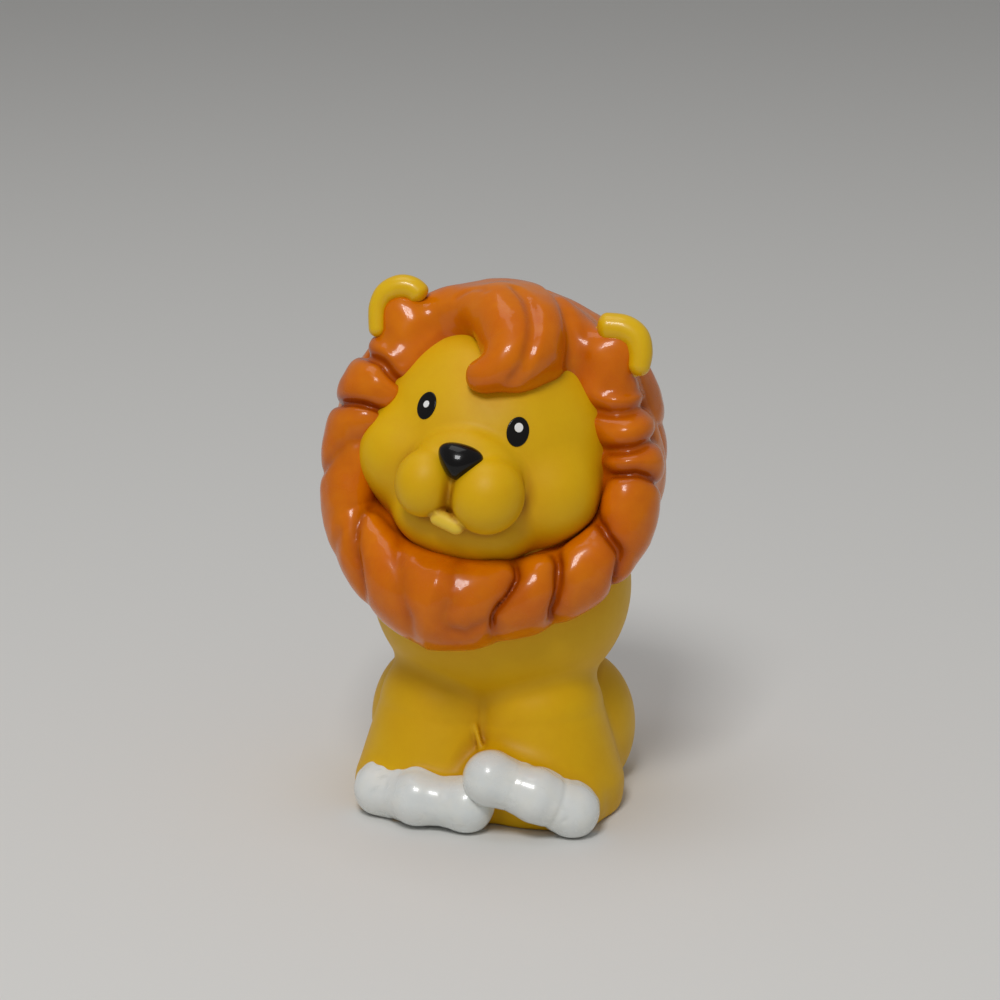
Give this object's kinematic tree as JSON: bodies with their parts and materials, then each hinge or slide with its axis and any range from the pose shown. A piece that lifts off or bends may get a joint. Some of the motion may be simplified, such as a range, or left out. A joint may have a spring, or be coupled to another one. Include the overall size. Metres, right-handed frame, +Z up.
{
  "type": "toy lion figure",
  "caption": "Seated lion toddler toy in soft vinyl, with a round sculpted mane, ears, forelock, white toes and a flat underside.",
  "frame": {"origin": "middle of the flat underside, on the surface that the figure stands on", "axes": "+Z up, the lion's body faces -Y, and +X is on the right as seen from the front"},
  "size_m": [0.0436, 0.0444, 0.0677],
  "materials": {
    "yellow_vinyl": "satin",
    "mane_orange": "glossy paint",
    "ear_yellow": "semi-gloss paint",
    "toe_white": "glossy paint",
    "face_black": "glossy paint",
    "plug_yellow": "satin"
  },
  "bodies": {
    "root": {"body_shell": "yellow_vinyl", "base_plug": "plug_yellow", "paw_left": "toe_white", "paw_right": "toe_white", "tail": "yellow_vinyl", "tail_tuft": "mane_orange", "head_shell": "yellow_vinyl", "mane": "mane_orange", "forelock": "mane_orange", "ear_left": "ear_yellow", "ear_right": "ear_yellow", "nose": "face_black", "eye_left": "face_black", "eye_right": "face_black"}
  },
  "joints": []
}
